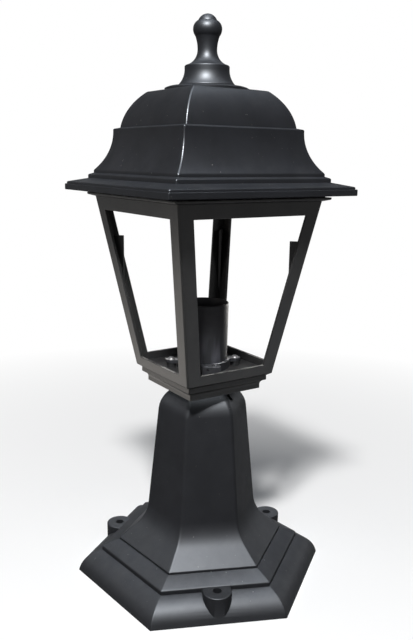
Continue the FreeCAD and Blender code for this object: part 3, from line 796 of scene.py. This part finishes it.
finishes = dict(pedestal=pedestalBlack, lantern_frame=frameBlack, roof_shell=roofBlack, finial=finialBlack,
                holder_base=collarBlack, holder_sleeve=holderBlack, lamp_insulator=paleMoulding,
                cap_shell=capMetal, centre_contact=brass, side_contact=brass, terminal_block=blockPlastic,
                live_lead=brownLead, neutral_lead=blueLead)
for name, node in nodes.items():
    node.data.materials.clear()
    node.data.materials.append(finishes.get(name, zinc))
print("solids finished")


# Floor, light and camera

studio = dict(floorSize=40.0, floorColour=(0.93, 0.945, 0.97), bounce=(0.30, 0.29, 0.28), fadeFrom=0.22,
              fadeTo=0.85, fill=(0.92, 0.96, 1.0), fillStrength=0.18, ceiling=0.20, horizon=0.28,
              overhead=0.62)


def seenDirectly(tree):
    # rays that show the background: from the camera, from gloss and through glass
    path = addNode(tree, "ShaderNodeLightPath")
    shown = path.outputs["Is Camera Ray"]
    for ray in ("Is Glossy Ray", "Is Transmission Ray"):
        either = addNode(tree, "ShaderNodeMath", operation="MAXIMUM")
        tree.links.new(shown, either.inputs[0])
        tree.links.new(path.outputs[ray], either.inputs[1])
        shown = either.outputs[0]
    return shown


def buildFloor(p):
    bm = bmesh.new()
    bmesh.ops.create_grid(bm, x_segments=1, y_segments=1, size=p["floorSize"] / 2)
    floor = makeObject("studio_floor", bm)
    material = bpy.data.materials.new("studioFloor")
    material.use_nodes = True
    tree = material.node_tree
    tree.nodes.remove(tree.nodes["Principled BSDF"])
    output = tree.nodes["Material Output"]
    paint = addNode(tree, "ShaderNodeBsdfDiffuse")
    seen = seenDirectly(tree)
    tree.links.new(mixColour(tree, seen, p["bounce"], p["floorColour"]), paint.inputs["Color"])
    # far away the floor runs into the white background
    white = addNode(tree, "ShaderNodeEmission", Color=(1, 1, 1, 1), Strength=1.0)
    distance = addNode(tree, "ShaderNodeVectorMath", operation="LENGTH")
    tree.links.new(objectPlace(tree), distance.inputs[0])
    far = multiply(tree, remap(tree, distance.outputs["Value"], p["fadeFrom"], p["fadeTo"]), seen)
    mix = addNode(tree, "ShaderNodeMixShader")
    tree.links.new(far, mix.inputs[0])
    tree.links.new(paint.outputs[0], mix.inputs[1])
    tree.links.new(white.outputs[0], mix.inputs[2])
    tree.links.new(mix.outputs[0], output.inputs["Surface"])
    floor.data.materials.append(material)


def buildWorld(p):
    world = bpy.data.worlds.new("studio")
    bpy.context.scene.world = world
    world.use_nodes = True
    tree = world.node_tree
    fill = tree.nodes["Background"]
    fill.inputs["Color"].default_value = p["fill"] + (1.0,)
    fill.inputs["Strength"].default_value = p["fillStrength"]
    # white round the horizon, with a dim ceiling above
    skyward = heightOf(tree, addNode(tree, "ShaderNodeTexCoord").outputs["Generated"])
    level = remap(tree, skyward, p["horizon"], p["overhead"], 1.0, p["ceiling"])
    back = addNode(tree, "ShaderNodeBackground", Color=(1, 1, 1, 1))
    tree.links.new(level, back.inputs["Strength"])
    mix = addNode(tree, "ShaderNodeMixShader")
    tree.links.new(seenDirectly(tree), mix.inputs[0])
    tree.links.new(fill.outputs[0], mix.inputs[1])
    tree.links.new(back.outputs[0], mix.inputs[2])
    tree.links.new(mix.outputs[0], tree.nodes["World Output"].inputs["Surface"])


# where each lamp stands: bearing and height angle from the lantern, distance, size and power
# a gleam shows only in the gloss of the pieces that it names, and only those in shadedBy block it, if any
# a flat lamp lies just over the floor and shines up
mouldings = ["pedestal_shell", "lantern_walls", "roof_cover", "finial_turned", "holder_tube", "holder_collar"]
lamps = dict(
    key=dict(bearing=228, rise=52, distance=2.4, size=0.30, power=70, colour=(1.0, 0.98, 0.95)),
    left=dict(bearing=165, rise=6, distance=2.4, size=1.20, power=4, colour=(1.0, 0.86, 0.72)),
    sunGleam=dict(bearing=229, rise=53, distance=2.3, size=0.26, power=1700, colour=(0.88, 0.93, 1.0),
                  gleamsOn=mouldings + ["connector_block"]),
    skyGleam=dict(bearing=236, rise=92, distance=2.3, size=2.0, power=270, colour=(0.80, 0.89, 1.0),
                  gleamsOn=mouldings[1:]),
    footGleam=dict(bearing=236, rise=96, distance=2.3, size=2.0, power=800, colour=(0.84, 0.91, 1.0),
                   gleamsOn=mouldings[:1], shadedBy=mouldings[:1]),
    leftGleam=dict(bearing=140, rise=27, distance=2.3, size=1.0, power=72, colour=(0.92, 0.97, 1.0),
                   gleamsOn=["pedestal_shell"]),
    rightGleam=dict(bearing=0, rise=12, distance=2.3, size=1.0, power=32, colour=(0.92, 0.96, 1.0),
                    gleamsOn=["pedestal_shell"]),
    backGleam=dict(bearing=56, rise=33, distance=2.3, size=1.0, power=35, colour=(0.92, 0.96, 1.0),
                   gleamsOn=["pedestal_shell"]),
    sideGleam=dict(bearing=22, rise=1, distance=1.0, size=0.4, power=16, colour=(1.0, 0.97, 0.92),
                   gleamsOn=["holder_tube"]),
    leftGround=dict(bearing=130, rise=0, distance=0.68, size=0.85, tall=0.40, power=5.0,
                    colour=(1.0, 0.94, 0.87), gleamsOn=["lantern_walls"], flat=True),
    rightGround=dict(bearing=320, rise=0, distance=0.44, size=0.46, power=0.70, colour=(0.90, 0.94, 1.0),
                     gleamsOn=["lantern_walls"], flat=True))
aimPoint = Vector((0, 0, 0.25))
flatLampHeight = 0.004


def collect(name, pieces):
    group = bpy.data.collections.new(name)
    for piece in pieces:
        group.objects.link(bpy.data.objects[piece])
    return group


def addLamp(name, p):
    light = bpy.data.lights.new(name, "AREA")
    light.shape = "RECTANGLE"
    light.size = p["size"]
    light.size_y = p.get("tall", p["size"])
    light.energy = p["power"]
    light.color = p["colour"]
    bearing, rise = math.radians(p["bearing"]), math.radians(p["rise"])
    away = Vector((math.cos(bearing) * math.cos(rise), math.sin(bearing) * math.cos(rise), math.sin(rise)))
    lamp = bpy.data.objects.new(name, light)
    lamp.location = aimPoint + away * p["distance"]
    lamp.rotation_euler = away.to_track_quat("Z", "Y").to_euler()
    if p.get("flat"):
        lamp.location.z = flatLampHeight
        lamp.rotation_euler = (math.pi, 0, bearing)
    lamp.visible_camera = False
    if "gleamsOn" in p:
        lamp.visible_diffuse = False
        lamp.light_linking.receiver_collection = collect(name, p["gleamsOn"])
    if "shadedBy" in p:
        lamp.light_linking.blocker_collection = collect(name + "Shade", p["shadedBy"])
    bpy.context.scene.collection.objects.link(lamp)


view = dict(place=(-0.3589, -0.5416, 0.3918), turn=-33.75, pitch=12.66, roll=0.80, focal=719.4,
            frameHeight=640, sensor=36.0)


def addCamera(p):
    camera = bpy.data.cameras.new("photoView")
    camera.sensor_fit = "VERTICAL"
    camera.sensor_height = p["sensor"]
    camera.lens = p["sensor"] * p["focal"] / p["frameHeight"]
    viewpoint = bpy.data.objects.new("photoView", camera)
    turn = Matrix.Rotation(math.radians(p["turn"]), 4, "Z")
    tilt = Matrix.Rotation(math.radians(90 - p["pitch"]), 4, "X")
    roll = Matrix.Rotation(math.radians(p["roll"]), 4, "Z")
    viewpoint.matrix_world = Matrix.Translation(p["place"]) @ turn @ tilt @ roll
    bpy.context.scene.collection.objects.link(viewpoint)
    bpy.context.scene.camera = viewpoint


buildFloor(studio)
buildWorld(studio)
for lampName, lampPlace in lamps.items():
    addLamp(lampName, lampPlace)
addCamera(view)
bpy.context.scene.view_settings.view_transform = "Standard"
print("studio ready")
